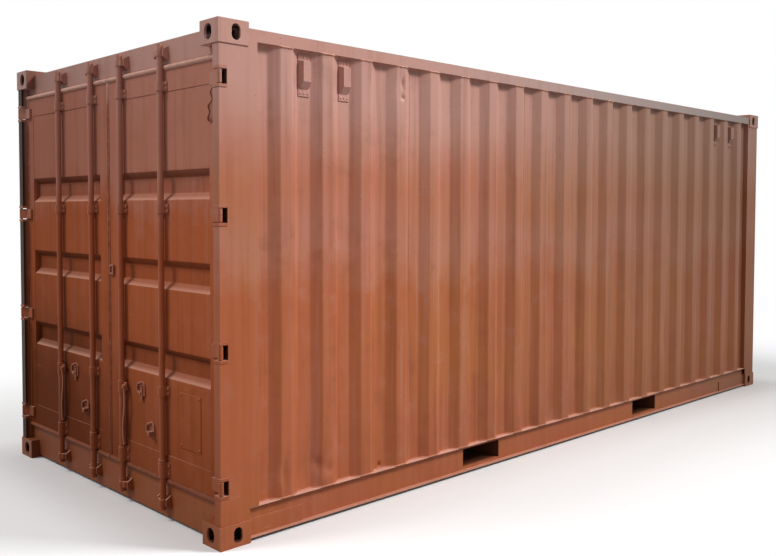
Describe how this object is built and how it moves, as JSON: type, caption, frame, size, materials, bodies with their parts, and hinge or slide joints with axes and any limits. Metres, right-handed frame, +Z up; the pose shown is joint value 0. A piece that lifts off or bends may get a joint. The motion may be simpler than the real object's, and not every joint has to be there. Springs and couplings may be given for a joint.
{
  "type": "shipping container",
  "caption": "Steel shipping container with corrugated walls, ribbed roof, timber floor, fork pockets and a pair of hinged end doors with lock rods and handles.",
  "frame": {"origin": "middle of the footprint, on the ground under the bottom corner castings", "axes": "+X along the length towards the closed front wall, doors at -X; +Y to the left when facing the doors; +Z up"},
  "size_m": [6.058, 2.438, 2.591],
  "materials": {
    "wall_paint": "weathered semi-gloss paint",
    "frame_paint": "weathered semi-gloss paint",
    "door_paint": "weathered semi-gloss paint",
    "gear_paint": "worn paint over steel",
    "casting_paint": "worn paint over cast steel",
    "base_paint": "dull dirty paint",
    "seal_rubber": "rubber painted over",
    "floor_wood": "worn plywood"
  },
  "bodies": {
    "container": {"right_rear_post": "frame_paint", "left_rear_post": "frame_paint", "right_front_post": "frame_paint", "left_front_post": "frame_paint", "top_castings": "casting_paint", "bottom_castings": "casting_paint", "right_side_panel": "wall_paint", "left_side_panel": "wall_paint", "front_panel": "wall_paint", "roof_panel": "wall_paint", "right_top_rail": "frame_paint", "left_top_rail": "frame_paint", "front_top_rail": "frame_paint", "door_header": "frame_paint", "right_bottom_rail": "frame_paint", "left_bottom_rail": "frame_paint", "pocket_bridges": "frame_paint", "front_sill": "frame_paint", "door_sill": "frame_paint", "cross_members": "base_paint", "fork_pockets": "base_paint", "floor_deck": "floor_wood", "vents": "wall_paint", "cam_keepers": "gear_paint", "hinge_lugs": "gear_paint"},
    "left_door": {"left_door_frame": "door_paint", "left_door_panel": "door_paint", "left_door_seal": "seal_rubber", "left_hinge_blades": "gear_paint", "left_rod_bearings": "gear_paint", "left_handle_catches": "gear_paint"},
    "right_door": {"right_door_frame": "door_paint", "right_door_panel": "door_paint", "right_door_seal": "seal_rubber", "right_hinge_blades": "gear_paint", "right_rod_bearings": "gear_paint", "right_handle_catches": "gear_paint", "right_door_plate": "door_paint", "right_door_bracket": "gear_paint"},
    "lock_rod_1": {"lock_rod_1": "gear_paint"},
    "lock_rod_2": {"lock_rod_2": "gear_paint"},
    "lock_rod_3": {"lock_rod_3": "gear_paint"},
    "lock_rod_4": {"lock_rod_4": "gear_paint"},
    "left_handle": {"left_handle": "gear_paint"},
    "right_handle": {"right_handle": "gear_paint"}
  },
  "joints": [
    {"name": "left_door_hinge", "type": "hinge", "parent": "container", "child": "left_door", "pos_m": [-3.015, 1.205, 1.3], "axis": [0, 0, -1], "range_deg": [0, 265]},
    {"name": "right_door_hinge", "type": "hinge", "parent": "container", "child": "right_door", "pos_m": [-3.015, -1.205, 1.3], "axis": [0, 0, 1], "range_deg": [0, 265]},
    {"name": "rod_1_turn", "type": "hinge", "parent": "left_door", "child": "lock_rod_1", "pos_m": [-3.006, 0.63, 1.3], "axis": [0, 0, 1], "range_deg": [-95, 0]},
    {"name": "rod_2_turn", "type": "hinge", "parent": "left_door", "child": "lock_rod_2", "pos_m": [-3.006, 0.181, 1.3], "axis": [0, 0, -1], "range_deg": [-95, 0]},
    {"name": "rod_3_turn", "type": "hinge", "parent": "right_door", "child": "lock_rod_3", "pos_m": [-3.006, -0.181, 1.3], "axis": [0, 0, 1], "range_deg": [-95, 0]},
    {"name": "rod_4_turn", "type": "hinge", "parent": "right_door", "child": "lock_rod_4", "pos_m": [-3.006, -0.63, 1.3], "axis": [0, 0, -1], "range_deg": [-95, 0]},
    {"name": "left_handle_swing", "type": "hinge", "parent": "lock_rod_1", "child": "left_handle", "pos_m": [-3.014, 0.594, 0.668], "axis": [1, 0, 0], "range_deg": [-90, 0]},
    {"name": "right_handle_swing", "type": "hinge", "parent": "lock_rod_3", "child": "right_handle", "pos_m": [-3.014, -0.217, 0.668], "axis": [1, 0, 0], "range_deg": [-90, 0]}
  ]
}
